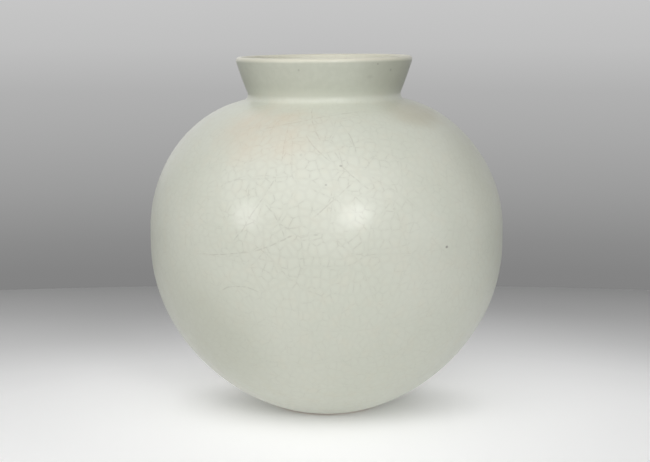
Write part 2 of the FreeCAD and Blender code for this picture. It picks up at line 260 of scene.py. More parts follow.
def pool_recess():
    """The coat in the hollow of the foot, thicker in its corner."""
    side = BORE_RADIUS - COAT
    under = BASE_HEIGHT - COAT
    pool = Vector((side - RECESS_POOL, under - RECESS_POOL))
    return turned("recess_coat", [
        (Vector((BORE_RADIUS, BASE_HEIGHT)), None),
        (Vector((0, BASE_HEIGHT)), None),
        (Vector((0, under)), None),
        (Vector((pool.x, under)), None),
        (Vector((side, pool.y)), pool),
        (Vector((side, BARE_INNER_EDGE)), None),
        (Vector((BORE_RADIUS, BARE_INNER_EDGE)), None),
    ])


def hidden_copy(node, name):
    """A merged copy of a clay or slip member, which the coats hide all over."""
    bpy.ops.object.select_all(action="DESELECT")
    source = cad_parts[node]
    bpy.context.view_layer.objects.active = source
    source.select_set(True)
    bpy.ops.object.duplicate()
    piece = bpy.context.object
    piece.name = name
    bpy.ops.object.mode_set(mode="EDIT")
    bpy.ops.mesh.select_all(action="SELECT")
    bpy.ops.mesh.remove_doubles(threshold=COAT / 100)
    bpy.ops.object.mode_set(mode="OBJECT")
    bpy.ops.object.shade_smooth_by_angle(angle=SMOOTH_UNDER)
    return piece


# Out of true: one cage carries every piece, so that the coats stay face to face with the clay

CAGE_POINTS = (7, 7, 11)
NECK_SHIFT = 0.0029
NECK_LEAN = 0.0023 / 0.206
LEAN_PIVOT = 0.103
LEAN_STARTS = 0.27
LEAN_FULL = 0.365
SHOULDER_FULLNESS = 0.0005
SHOULDER_HEIGHT = 0.325
SHOULDER_FADE = (0.02, 0.08)
LEFT_SIDE = (0.03, 0.14)
WALL_WAVER = 0.0005
WAVER_SEED = 23
WAVER_STARTS = 0.02
WAVER_FULL = 0.12


def eased(value, low, high):
    """A soft step from nothing to one, as the value goes from low to high."""
    share = min(max((value - low) / (high - low), 0), 1)
    return share * share * (3 - 2 * share)


def warped_by(place, rng):
    """How far the wheel and the kiln moved a place of the jar."""
    up = eased(place.z, LEAN_STARTS, LEAN_FULL)
    clear_of_foot = eased(place.z, WAVER_STARTS, WAVER_FULL)
    outward = Vector((place.x, place.y, 0)).normalized()
    waver = -outward * WALL_WAVER * rng.random() * clear_of_foot
    lean = Vector((-NECK_SHIFT, 0, NECK_LEAN * (place.x - LEAN_PIVOT))) * up
    left = eased(-place.x, *LEFT_SIDE) * (1 - eased(abs(place.z - SHOULDER_HEIGHT), *SHOULDER_FADE))
    full = (outward + Vector((0, 0, 1))) * SHOULDER_FULLNESS * left
    return waver + lean + full


def build_cage():
    """The lattice, already warped, that fits round the whole jar."""
    rng = random.Random(WAVER_SEED)
    low, high = cad_box
    middle = [(a + b) / 2 for a, b in zip(low, high)]
    size = [b - a for a, b in zip(low, high)]
    bpy.ops.object.select_all(action="DESELECT")
    bpy.ops.object.add(type="LATTICE", location=middle)
    cage = bpy.context.object
    cage.name = "kiln_cage"
    cage.scale = size
    cage.data.points_u, cage.data.points_v, cage.data.points_w = CAGE_POINTS
    for point in cage.data.points:
        place = Vector(middle) + Vector([c * s for c, s in zip(point.co, size)])
        move = warped_by(place, rng)
        point.co_deform = [c + m / s for c, m, s in zip(point.co, move, size)]
    return cage


def settle(piece, cage):
    """Gives a piece the cage's warp for good."""
    bpy.context.view_layer.objects.active = piece
    modifier = piece.modifiers.new("kiln_cage", "LATTICE")
    modifier.object = cage
    bpy.ops.object.modifier_apply(modifier=modifier.name)


# Materials: nodes are added with their options, and their inputs take numbers or other nodes' outputs

def add(tree, kind, inputs=(), **options):
    """A new node. Its inputs go by name or by number."""
    node = tree.nodes.new(kind)
    for key, value in options.items():
        setattr(node, key, value)
    for key, value in dict(inputs).items():
        if isinstance(value, bpy.types.NodeSocket):
            tree.links.new(value, node.inputs[key])
        else:
            node.inputs[key].default_value = value
    return node


def maths(tree, operation, *values):
    """One step of arithmetic on numbers."""
    return add(tree, "ShaderNodeMath", enumerate(values), operation=operation).outputs[0]


def vectors(tree, operation, *values):
    """One step of arithmetic on vectors."""
    return add(tree, "ShaderNodeVectorMath", enumerate(values), operation=operation).outputs[0]


def ramped(tree, value, low, high, at_low=0.0, at_high=1.0):
    """A soft step from at_low, where the value is low, to at_high."""
    inputs = {0: value, 1: low, 2: high, 3: at_low, 4: at_high}
    return add(tree, "ShaderNodeMapRange", inputs, interpolation_type="SMOOTHSTEP").outputs[0]


def mixed(tree, share, first, second):
    """The first colour where the share is nothing, and the second where it is one."""
    return add(tree, "ShaderNodeMix", {0: share, 6: first, 7: second}, data_type="RGBA").outputs[2]


def chosen(tree, switch, off, on):
    """One of two numbers, by a switch that is nothing or one."""
    return add(tree, "ShaderNodeMix", {0: switch, 2: off, 3: on}).outputs[0]


def parts_of(tree, vector):
    return add(tree, "ShaderNodeSeparateXYZ", {0: vector}).outputs


def length_of(tree, vector):
    return add(tree, "ShaderNodeVectorMath", {0: vector}, operation="LENGTH").outputs["Value"]


def product_of(tree, first, second):
    return add(tree, "ShaderNodeVectorMath", {0: first, 1: second}, operation="DOT_PRODUCT").outputs["Value"]


def noise(tree, place, scale, detail, **options):
    """Clouds from nothing to one, at a place in space or on a sheet."""
    inputs = {"Vector": place, "Scale": scale, "Detail": detail}
    return add(tree, "ShaderNodeTexNoise", inputs, **options).outputs["Fac"]


def sheet_noise(tree, sheet, scale, detail):
    return noise(tree, sheet, scale, detail, noise_dimensions="2D")


def sheet_cells(tree, sheet, scale, randomness=1.0):
    """Cells on a sheet: how far the edge is, as a share of a cell, and each cell's own colour."""
    inputs = {"Vector": sheet, "Scale": scale, "Randomness": randomness}
    edge = add(tree, "ShaderNodeTexVoronoi", inputs, voronoi_dimensions="2D", feature="DISTANCE_TO_EDGE")
    field = add(tree, "ShaderNodeTexVoronoi", inputs, voronoi_dimensions="2D", feature="F1")
    return edge.outputs["Distance"], field.outputs["Color"]


def toned_ramp(tree, place, stops):
    """Greys along a ramp. Each stop is a place from nothing to one, with its tone."""
    ramp = add(tree, "ShaderNodeValToRGB", {0: place})
    elements = ramp.color_ramp.elements
    for index, (at, tone) in enumerate(stops):
        stop = elements[index] if index < 2 else elements.new(at)
        stop.position = at
        stop.color = (tone, tone, tone, 1)
    return ramp.outputs[0]


def new_group(name, inputs, outputs):
    """An empty node group, with named inputs and outputs of the kinds Float, Vector or Color."""
    tree = bpy.data.node_groups.new(name, "ShaderNodeTree")
    for title, kind in inputs:
        tree.interface.new_socket(title, in_out="INPUT", socket_type=f"NodeSocket{kind}")
    for title, kind in outputs:
        tree.interface.new_socket(title, in_out="OUTPUT", socket_type=f"NodeSocket{kind}")
    return tree, tree.nodes.new("NodeGroupInput").outputs, tree.nodes.new("NodeGroupOutput").inputs


def use(tree, group, **inputs):
    """Places a group. An underscore in an input's name stands for a blank."""
    node = add(tree, "ShaderNodeGroup", node_tree=group)
    for key, value in inputs.items():
        socket = node.inputs[key.replace("_", " ").capitalize()]
        if isinstance(value, bpy.types.NodeSocket):
            tree.links.new(value, socket)
        else:
            socket.default_value = value
    return node.outputs


# The front sheet's middle looks up by the tilt. The sheets lie apart, so that no crack joins two of them.
SHEET_TILT = math.radians(25)
SHEETS_START = 1.3
SIDES_APART = 2.1
TOPS_APART = 4.7


def build_unrolling():
    """Unrolls the skin to six flat sheets like a cube's sides, the first one facing the front's upper
    half, and one round the collar, so that hairlines keep their width. Edge is how far a sheet's edge is."""
    tree, given, out = new_group("unrolled_skin", [("Position", "Vector")],
                                 [("Sheet", "Vector"), ("Edge", "Float")])
    from_middle = vectors(tree, "SUBTRACT", given["Position"], (0, 0, BELLY_HEIGHT))
    upright_x, upright_y, upright_z = parts_of(tree, from_middle)
    tilted = add(tree, "ShaderNodeVectorRotate", {"Vector": from_middle, "Angle": SHEET_TILT},
                 rotation_type="X_AXIS").outputs[0]
    x, y, z = parts_of(tree, tilted)
    size_x, size_y, size_z = parts_of(tree, vectors(tree, "ABSOLUTE", tilted))
    longest = maths(tree, "MAXIMUM", size_x, maths(tree, "MAXIMUM", size_y, size_z))
    shortest = maths(tree, "MINIMUM", size_x, maths(tree, "MINIMUM", size_y, size_z))
    total = maths(tree, "ADD", size_x, maths(tree, "ADD", size_y, size_z))
    middle = maths(tree, "SUBTRACT", maths(tree, "SUBTRACT", total, longest), shortest)

    on_side = maths(tree, "GREATER_THAN", size_x, maths(tree, "MAXIMUM", size_y, size_z))
    on_top = maths(tree, "GREATER_THAN", size_z, maths(tree, "MAXIMUM", size_x, size_y))
    turn_across = maths(tree, "ARCTAN2", chosen(tree, on_side, x, y), longest)
    turn_up = maths(tree, "ARCTAN2", chosen(tree, on_top, z, y), longest)
    across = maths(tree, "MULTIPLY", turn_across, BELLY_RADIUS)
    upward = maths(tree, "MULTIPLY", turn_up, BELLY_RADIUS)
    facing = maths(tree, "SIGN", chosen(tree, on_top, chosen(tree, on_side, y, x), z))
    apart = maths(tree, "MULTIPLY_ADD", on_top, TOPS_APART, SHEETS_START)
    apart = maths(tree, "MULTIPLY_ADD", on_side, SIDES_APART, apart)
    across = maths(tree, "MULTIPLY_ADD", facing, apart, across)

    on_collar = maths(tree, "GREATER_THAN", upright_z, THROAT.y - BELLY_HEIGHT)
    round_collar = maths(tree, "MULTIPLY", maths(tree, "ARCTAN2", upright_x, upright_y), LIP.x)
    sheet = add(tree, "ShaderNodeCombineXYZ", {
        0: chosen(tree, on_collar, across, round_collar),
        1: chosen(tree, on_collar, upward, upright_z),
    }).outputs[0]
    edge = maths(tree, "MULTIPLY", maths(tree, "SUBTRACT", longest, middle), math.sqrt(0.5))
    tree.links.new(sheet, out["Sheet"])
    tree.links.new(maths(tree, "MAXIMUM", edge, on_collar), out["Edge"])
    return tree


# Crazing: how often its lines fade or break, and their halo's reach and strength against the line's
FADES_PER_METRE = 55.0
BREAKS_PER_METRE = 210.0
LONG_BREAKS_PER_METRE = 160.0
HALO_REACH = 3.5
HALO_STRENGTH = 0.25


def build_crackle():
    """Crazing: long first cracks, and a finer mesh that stops at them. Its lines come and go in patches,
    and each has a soft halo."""
    tree, given, out = new_group("crackle", [
        ("Sheet", "Vector"), ("Edge", "Float"), ("Long mesh", "Float"), ("Fine mesh", "Float"),
        ("Width", "Float"),
    ], [("Lines", "Float"), ("Field tone", "Float")])
    long_scale = maths(tree, "DIVIDE", 1.0, given["Long mesh"])
    fine_scale = maths(tree, "DIVIDE", 1.0, given["Fine mesh"])
    long_edge, long_field = sheet_cells(tree, given["Sheet"], long_scale)
    scatter = add(tree, "ShaderNodeVectorMath", {0: long_field, "Scale": 3.0}, operation="SCALE").outputs[0]
    moved = vectors(tree, "ADD", given["Sheet"], scatter)
    fine_edge, fine_field = sheet_cells(tree, moved, fine_scale, 0.9)
    long_away = maths(tree, "MINIMUM", maths(tree, "MULTIPLY", long_edge, given["Long mesh"]), given["Edge"])
    fine_away = maths(tree, "MULTIPLY", fine_edge, given["Fine mesh"])
    away = maths(tree, "MINIMUM", long_away, fine_away)
    line = ramped(tree, away, 0.0, given["Width"], 1.0, 0.0)
    halo_width = maths(tree, "MULTIPLY", given["Width"], HALO_REACH)
    halo = ramped(tree, away, 0.0, halo_width, HALO_STRENGTH, 0.0)
    faded = ramped(tree, sheet_noise(tree, given["Sheet"], FADES_PER_METRE, 2.0), 0.36, 0.62, 0.25, 1.0)
    broken = ramped(tree, sheet_noise(tree, given["Sheet"], BREAKS_PER_METRE, 1.0), 0.38, 0.62, 0.35, 1.0)
    shown = maths(tree, "MULTIPLY", faded, broken)
    tree.links.new(maths(tree, "MAXIMUM", maths(tree, "MULTIPLY", line, shown), halo), out["Lines"])
    tone = add(tree, "ShaderNodeSeparateColor", {0: fine_field}).outputs[0]
    tree.links.new(tone, out["Field tone"])
    return tree


def build_long_crack():
    """One long crack on a sheet, as a bow from a start to an end."""
    tree, given, out = new_group("long_crack", [
        ("Sheet", "Vector"), ("Start", "Vector"), ("End", "Vector"), ("Bow", "Float"), ("Width", "Float"),
    ], [("Line", "Float")])
    run = vectors(tree, "SUBTRACT", given["End"], given["Start"])
    from_start = vectors(tree, "SUBTRACT", given["Sheet"], given["Start"])
    square = product_of(tree, run, run)
    share = maths(tree, "DIVIDE", product_of(tree, from_start, run), square)
    side = parts_of(tree, vectors(tree, "CROSS_PRODUCT", run, from_start))[2]
    away = maths(tree, "DIVIDE", side, maths(tree, "SQRT", square))
    rise = maths(tree, "MULTIPLY", share, maths(tree, "SUBTRACT", 1.0, share))
    bowed = maths(tree, "MULTIPLY", maths(tree, "MULTIPLY", rise, 4.0), given["Bow"])
    off = maths(tree, "ABSOLUTE", maths(tree, "SUBTRACT", away, bowed))
    line = ramped(tree, off, 0.0, given["Width"], 1.0, 0.0)
    ends = maths(tree, "MULTIPLY", ramped(tree, share, 0.0, 0.15), ramped(tree, share, 0.85, 1.0, 1.0, 0.0))
    breaks = sheet_noise(tree, given["Sheet"], LONG_BREAKS_PER_METRE, 1.0)
    shown = maths(tree, "MULTIPLY", ends, ramped(tree, breaks, 0.35, 0.6, 0.3, 1.0))
    tree.links.new(maths(tree, "MULTIPLY", line, shown), out["Line"])
    return tree


def build_patch():
    """A soft round mask about one place, squashed or drawn out by its reach along each axis."""
    tree, given, out = new_group("soft_patch", [
        ("Position", "Vector"), ("Centre", "Vector"), ("Reach", "Vector"),
    ], [("Mask", "Float")])
    apart = vectors(tree, "SUBTRACT", given["Position"], given["Centre"])
    length = length_of(tree, vectors(tree, "DIVIDE", apart, given["Reach"]))
    tree.links.new(ramped(tree, length, 0.25, 1.0, 1.0, 0.0), out["Mask"])
    return tree


def build_wheel_marks():
    """Throwing rings and the glaze's soft orange peel, as one height in metres."""
    tree, given, out = new_group("wheel_marks", [
        ("Position", "Vector"), ("Rings", "Float"), ("Peel", "Float"),
    ], [("Height", "Float")])
    flat = vectors(tree, "MULTIPLY", given["Position"], (3.0, 3.0, 85.0))
    ringed = maths(tree, "MULTIPLY", noise(tree, flat, 1.0, 2.0), given["Rings"])
    peel = noise(tree, given["Position"], 260.0, 3.0)
    tree.links.new(maths(tree, "MULTIPLY_ADD", peel, given["Peel"], ringed), out["Height"])
    return tree


GRIT_HEIGHT = 0.00012


def build_grit():
    """Sand and coarse grains in unglazed clay: a mask of dark grains and a height in metres."""
    tree, given, out = new_group("clay_grit", [("Position", "Vector"), ("Grain", "Float")],
                                 [("Grains", "Float"), ("Shade", "Float"), ("Height", "Float")])
    scale = maths(tree, "DIVIDE", 1.0, given["Grain"])
    cells = add(tree, "ShaderNodeTexVoronoi", {"Vector": given["Position"], "Scale": scale}, feature="F1")
    pick = add(tree, "ShaderNodeSeparateColor", {0: cells.outputs["Color"]}).outputs[0]
    grain = maths(tree, "MULTIPLY", ramped(tree, cells.outputs["Distance"], 0.15, 0.4, 1.0, 0.0),
                  maths(tree, "GREATER_THAN", pick, 0.72))
    shade = ramped(tree, noise(tree, given["Position"], 40.0, 5.0), 0.3, 0.7)
    height = maths(tree, "MULTIPLY_ADD", grain, 0.6, noise(tree, given["Position"], 900.0, 4.0))
    tree.links.new(grain, out["Grains"])
    tree.links.new(shade, out["Shade"])
    tree.links.new(maths(tree, "MULTIPLY", height, GRIT_HEIGHT), out["Height"])
    return tree


unrolled_skin = build_unrolling()
crackle = build_crackle()
long_crack = build_long_crack()
soft_patch = build_patch()
wheel_marks = build_wheel_marks()
clay_grit = build_grit()


def new_material(name):
    """An empty material, whose shader already feeds the surface."""
    material = bpy.data.materials.new(name)
    material.use_nodes = True
    tree = material.node_tree
    tree.nodes.clear()
    shader = add(tree, "ShaderNodeBsdfPrincipled")
    add(tree, "ShaderNodeOutputMaterial", {"Surface": shader.outputs[0]})
    return material, tree, shader


# Tones, linear

GLAZE_WHITE = (0.665, 0.680, 0.590, 1)
GLAZE_GREEN = (0.600, 0.628, 0.530, 1)
GLAZE_WARM = (0.690, 0.665, 0.555, 1)
COLLAR_GREEN = (0.560, 0.580, 0.490, 1)
# Painted shade: the darker olive of the collar's right side
COLLAR_PAINTED_SHADE_TONE = (0.420, 0.430, 0.345, 1)
PEACH_STAIN = (0.700, 0.600, 0.460, 1)
BUFF_STAIN = (0.470, 0.430, 0.310, 1)
# Painted shade: the darker olive of the belly's lower left and upper right edge
BELLY_PAINTED_SHADE_TONE = (0.500, 0.512, 0.418, 1)
CRACK_BROWN = (0.230, 0.200, 0.150, 1)
CRACK_RUST = (0.480, 0.300, 0.170, 1)
LIP_CREAM = (0.740, 0.710, 0.585, 1)
SPECK_DARK = (0.100, 0.088, 0.068, 1)
CLAY_BUFF = (0.500, 0.390, 0.270, 1)
CLAY_PALE = (0.640, 0.560, 0.450, 1)
SLIP_PALE = (0.680, 0.640, 0.560, 1)

# Crazing, in metres: the size of both meshes, and how far a line reaches to each side
LONG_MESH = 0.042
FINE_MESH = 0.0105
HAIRLINE = 0.0010
LONG_HAIRLINE = 0.0013
HAIRLINE_DEPTH = 0.00003
CRACKS_WANDER = 0.005

# How strongly the crazing shows: on the coats, on the long cracks, and as a share of that elsewhere
COAT_CRACKS = 0.24
LINING_CRACKS = 0.18
LONG_STRENGTH = 0.27
AWAY_FROM_FRONT = 0.45
ON_COLLAR = 0.3

# Shine, and the height of throwing rings and orange peel
GLAZE_ROUGHNESS = (0.36, 0.46)
CLAY_ROUGHNESS = (0.78, 0.9)
FLOOR_ROUGHNESS = 0.9
COAT_WEIGHT = 0.3
COAT_ROUGHNESS = 0.15
GLAZE_RINGS = 0.0006
GLAZE_PEEL = 0.00006
CLAY_RINGS = 0.0009
CLAY_PEEL = 0.00005

# The size of the grains in the clay
FOOT_GRAIN = 0.0016
BODY_GRAIN = 0.0011
SLIP_GRAIN = 0.0006

# Long cracks on the front: start and end from the front sheet's middle, and how far the crack bows
LONG_CRACKS = [
    ((-0.160, -0.085), (-0.086, -0.077), -0.002),
    ((-0.086, -0.077), (-0.030, -0.055), -0.002),
    ((-0.085, 0.076), (0.058, 0.112), -0.007),
    ((-0.020, 0.117), (-0.002, 0.040), -0.006),
    ((-0.047, 0.084), (-0.049, 0.021), 0.001),
    ((-0.051, 0.011), (-0.110, -0.070), 0.003),
    ((-0.068, -0.023), (-0.045, -0.063), 0.004),
    ((0.013, 0.019), (0.046, -0.011), -0.001),
    ((0.032, 0.002), (-0.018, -0.043), 0.001),
    ((0.019, 0.070), (0.033, 0.031), 0.003),
    ((-0.024, 0.061), (0.005, 0.021), -0.004),
    ((-0.139, -0.130), (-0.083, -0.124), 0.007),
]

# Places of another tone in the glaze, and of painted shade: centre, reach and share
# Painted shade on the collar's right side, where less light falls
COLLAR_PAINTED_SHADE_PATCH = ((0.088, -0.060, 0.400), (0.080, 0.100, 0.040), 0.55)
PEACH_PATCH = ((-0.064, -0.132, 0.338), (0.085, 0.090, 0.055), 1.0)
BUFF_PATCH = ((0.103, -0.072, 0.353), (0.062, 0.075, 0.022), 0.50)
CRAZED_FRONT = ((-0.02, -0.19, 0.27), (0.155, 0.16, 0.16), 1.0)
# Painted shade at the belly's lower left and on its upper right edge
BELLY_PAINTED_SHADE_PATCHES = [
    ((-0.135, -0.125, 0.115), (0.11, 0.11, 0.11), 0.50),
    ((0.180, -0.045, 0.295), (0.085, 0.13, 0.12), 0.55),
]

# Specks in the glaze: places on the jar, reach sideways and upward, and how dark
SPECK_REACH_IN = 0.006
SPECKS = [
    ((0.1277, -0.1641, 0.2171), (0.0022, 0.0020), 0.62),
    ((0.0147, -0.1783, 0.3053), (0.0026, 0.0014), 0.40),
    ((-0.0009, -0.1899, 0.2868), (0.0018, 0.0013), 0.35),
    ((-0.0271, -0.1688, 0.3158), (0.0024, 0.0022), 0.13),
    ((-0.0112, -0.2058, 0.2370), (0.0034, 0.0016), 0.16),
    ((-0.0305, -0.0938, 0.4013), (0.0018, 0.0022), 0.30),
    ((0.0564, -0.0833, 0.4075), (0.0016, 0.0013), 0.35),
    ((0.0715, -0.0675, 0.4003), (0.0016, 0.0022), 0.30),
    ((0.0475, -0.0830, 0.3935), (0.0060, 0.0030), 0.10),
]

# The lip's cream: how far under the crest it starts outside and inside, and where it is full
CREAM_OUTSIDE = 0.006
CREAM_INSIDE = 0.018
CREAM_FULL = 0.0012
CREAM_SHARE = 0.78


def patch(tree, position, place):
    """How much of its tone a patch gives to a position."""
    centre, reach, share = place
    mask = use(tree, soft_patch, position=position, centre=centre, reach=reach)["Mask"]
    return mask if share == 1.0 else maths(tree, "MULTIPLY", mask, share)


def wandered(tree, position):
    """The position moved a little, unevenly, so that no crack or stain has a drawn edge."""
    inputs = {"Vector": position, "Scale": 38.0, "Detail": 2.0}
    wander = add(tree, "ShaderNodeTexNoise", inputs).outputs["Color"]
    centred = vectors(tree, "SUBTRACT", wander, (0.5, 0.5, 0.5))
    return vectors(tree, "MULTIPLY_ADD", centred, (CRACKS_WANDER,) * 3, position)


def long_crack_lines(tree, sheet):
    """All long cracks of the front as one mask."""
    lines = 0.0
    for (start_x, start_y), (end_x, end_y), bow in LONG_CRACKS:
        line = use(tree, long_crack, sheet=sheet, start=(start_x - SHEETS_START, start_y, 0),
                   end=(end_x - SHEETS_START, end_y, 0), bow=bow, width=LONG_HAIRLINE)["Line"]
        lines = maths(tree, "MAXIMUM", lines, line)
    return lines


def clean_glaze(tree, position, height, mottle, field_tone):
    """The glaze's white with greener and warmer clouds, the greener collar, and painted shade on the collar's
    right side.
    """
    cloud = noise(tree, position, 9.0, 3.0)
    colour = mixed(tree, ramped(tree, cloud, 0.35, 0.65, 0.0, 0.35), GLAZE_WHITE, GLAZE_GREEN)
    colour = mixed(tree, ramped(tree, mottle, 0.45, 0.75, 0.0, 0.25), colour, GLAZE_WARM)
    colour = mixed(tree, ramped(tree, field_tone, 0.0, 1.0, 0.0, 0.06), colour, GLAZE_GREEN)
    smudge = ramped(tree, noise(tree, position, 130.0, 3.0), 0.3, 0.65, 0.8, 1.15)
    smoked = maths(tree, "MULTIPLY", ramped(tree, height, THROAT.y, THROAT.y + 0.012, 0.0, 0.8), smudge)
    colour = mixed(tree, smoked, colour, COLLAR_GREEN)
    # Painted shade: the collar's right side is darkened to olive
    return mixed(tree, patch(tree, position, COLLAR_PAINTED_SHADE_PATCH), colour, COLLAR_PAINTED_SHADE_TONE)


def glaze_material(name, crack_strength, outside):
    """A crazed glaze, with painted shade on the collar's right. The coat outside also has the long cracks,
    the stains, the specks and painted shade on the belly's lower left and upper right edge.
    """
    material, tree, shader = new_material(name)
    position = add(tree, "ShaderNodeTexCoord").outputs["Object"]
    across, _, height = parts_of(tree, position)
    wandering = wandered(tree, position)
    sheet = use(tree, unrolled_skin, position=wandering)
    cracks = use(tree, crackle, sheet=sheet["Sheet"], edge=sheet["Edge"], long_mesh=LONG_MESH,
                 fine_mesh=FINE_MESH, width=HAIRLINE)
    collar = ramped(tree, height, THROAT.y - 0.008, THROAT.y + 0.002)
    fainter = maths(tree, "MULTIPLY_ADD", collar, ON_COLLAR - 1.0, 1.0)
    lines = maths(tree, "MULTIPLY", cracks["Lines"], fainter)
    long_lines = long_crack_lines(tree, sheet["Sheet"]) if outside else 0.0

    mottle = noise(tree, position, 70.0, 4.0)
    colour = clean_glaze(tree, position, height, mottle, cracks["Field tone"])
    strength = crack_strength
    crack_tone = CRACK_BROWN
    if outside:
        peach = patch(tree, wandering, PEACH_PATCH)
        clouded = ramped(tree, noise(tree, position, 28.0, 4.0), 0.35, 0.7, 0.15, 0.5)
        colour = mixed(tree, maths(tree, "MULTIPLY", peach, clouded), colour, PEACH_STAIN)
        colour = mixed(tree, patch(tree, wandering, BUFF_PATCH), colour, BUFF_STAIN)
        # Painted shade: the belly's lower left and upper right edge darkened to olive
        for place in BELLY_PAINTED_SHADE_PATCHES:
            colour = mixed(tree, patch(tree, wandering, place), colour, BELLY_PAINTED_SHADE_TONE)
        front = patch(tree, position, CRAZED_FRONT)
        strength = ramped(tree, front, 0.0, 1.0, crack_strength * AWAY_FROM_FRONT, crack_strength)
        crack_tone = mixed(tree, maths(tree, "MULTIPLY", peach, 0.7), CRACK_BROWN, CRACK_RUST)

    level = maths(tree, "MULTIPLY_ADD", maths(tree, "SUBTRACT", across, LEAN_PIVOT), -NECK_LEAN, height)
    crest = LIP.y + LIP_ROUND
    cream_start = crest - (CREAM_OUTSIDE if outside else CREAM_INSIDE)
    cream = ramped(tree, level, cream_start, crest - CREAM_FULL, 0.0, CREAM_SHARE)
    colour = mixed(tree, cream, colour, LIP_CREAM)
    shown = maths(tree, "MULTIPLY", lines, strength)
    shown = maths(tree, "MAXIMUM", shown, maths(tree, "MULTIPLY", long_lines, LONG_STRENGTH))
    colour = mixed(tree, shown, colour, crack_tone)
    for centre, (wide, high), dark in SPECKS if outside else []:
        speck = patch(tree, position, (centre, (wide, SPECK_REACH_IN, high), dark))
        colour = mixed(tree, speck, colour, SPECK_DARK)

    tree.links.new(colour, shader.inputs["Base Color"])
    tree.links.new(ramped(tree, mottle, 0.3, 0.7, *GLAZE_ROUGHNESS), shader.inputs["Roughness"])
    shader.inputs["Coat Weight"].default_value = COAT_WEIGHT
    shader.inputs["Coat Roughness"].default_value = COAT_ROUGHNESS
    marks = use(tree, wheel_marks, position=position, rings=GLAZE_RINGS, peel=GLAZE_PEEL)["Height"]
    cracked = maths(tree, "MAXIMUM", lines, long_lines)
    sunk = maths(tree, "MULTIPLY_ADD", cracked, -HAIRLINE_DEPTH, marks)
    bump = add(tree, "ShaderNodeBump", {"Height": sunk, "Distance": 1.0, "Strength": 0.6})
    tree.links.new(bump.outputs[0], shader.inputs["Normal"])
    return material


def clay_material(name, dark, pale, grain):
    """Bare clay between two tones, with grains of one size."""
    material, tree, shader = new_material(name)
    position = add(tree, "ShaderNodeTexCoord").outputs["Object"]
    grit = use(tree, clay_grit, position=position, grain=grain)
    colour = mixed(tree, grit["Shade"], dark, pale)
    colour = mixed(tree, maths(tree, "MULTIPLY", grit["Grains"], 0.4), colour, CRACK_BROWN)
    tree.links.new(colour, shader.inputs["Base Color"])
    tree.links.new(ramped(tree, grit["Shade"], 0.0, 1.0, *CLAY_ROUGHNESS), shader.inputs["Roughness"])
    marks = use(tree, wheel_marks, position=position, rings=CLAY_RINGS, peel=CLAY_PEEL)["Height"]
    height = maths(tree, "ADD", grit["Height"], marks)
    bump = add(tree, "ShaderNodeBump", {"Height": height, "Distance": 1.0, "Strength": 0.8})
    tree.links.new(bump.outputs[0], shader.inputs["Normal"])
    return material


# The jar

cage = build_cage()

# Each piece with the solid that it stands for, its slot and its material
pieces = [
    (wrap_outer_coat(), "outer_glaze", "crackled_glaze", glaze_material("crackled_glaze", COAT_CRACKS, True)),
    (wrap_lining(), "inner_glaze", "lining_glaze", glaze_material("lining_glaze", LINING_CRACKS, False)),
    (turn_foot(), "foot_ring", "foot_clay", clay_material("foot_clay", CLAY_BUFF, CLAY_PALE, FOOT_GRAIN)),
    (pool_recess(), "foot_recess_glaze", "recess_glaze",
     glaze_material("recess_glaze", LINING_CRACKS, False)),
]
clay_body = clay_material("clay_body", CLAY_BUFF, CLAY_PALE, BODY_GRAIN)
slip_joint = clay_material("slip_joint", CLAY_PALE, SLIP_PALE, SLIP_GRAIN)
for node in ("lower_bowl", "upper_bowl", "neck_collar"):
    pieces.append((hidden_copy(node, f"{node}_clay"), node, "clay_body", clay_body))
for node in ("foot_slip", "belly_slip", "neck_slip"):
    pieces.append((hidden_copy(node, f"{node}_layer"), node, "slip_joint", slip_joint))

for piece, node, slot, material in pieces:
    settle(piece, cage)
    piece.data.materials.clear()
    piece.data.materials.append(material)
    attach(piece, "root")
    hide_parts(node)
bpy.data.objects.remove(cage)

# Stage: a pale floor whose tone darkens away from the jar as painted falloff of light, and a grey room behind
# it

FLOOR_MIDDLE = (0, -0.25, 0)
FLOOR_REACH = (1.86, 0.93, 1)
# Painted falloff of light: the floor's tone darkens away from the jar
FLOOR_FALLOFF_TONES = [(0.0, 0.845), (0.2, 0.80), (0.35, 0.77), (0.45, 0.71), (0.6, 0.56), (0.8, 0.41), (1.0, 0.30)]
# Painted light: the floor's glow, brighter where the camera and reflections see it, weaker where it lights
# the jar from below
FLOOR_GLOW_SEEN = 0.55
FLOOR_GLOW = 0.24

# The brighter pool of light round the jar, and the shade right under its belly: centre, reach and share
LIGHT_POOL = ((0.06, 0.14, 0), (0.52, 0.46, 1), 0.42)
OUT_OF_POOL = 0.5
UNDER_BELLY = ((0, -0.01, 0), (0.215, 0.125, 1), -0.75)


def seen_directly(tree):
    """One for the camera and for reflections, and nothing for the soft light that a surface receives."""
    path = add(tree, "ShaderNodeLightPath").outputs
    mirrored = maths(tree, "MAXIMUM", path["Is Glossy Ray"], path["Is Transmission Ray"])
    return maths(tree, "MAXIMUM", path["Is Camera Ray"], mirrored)


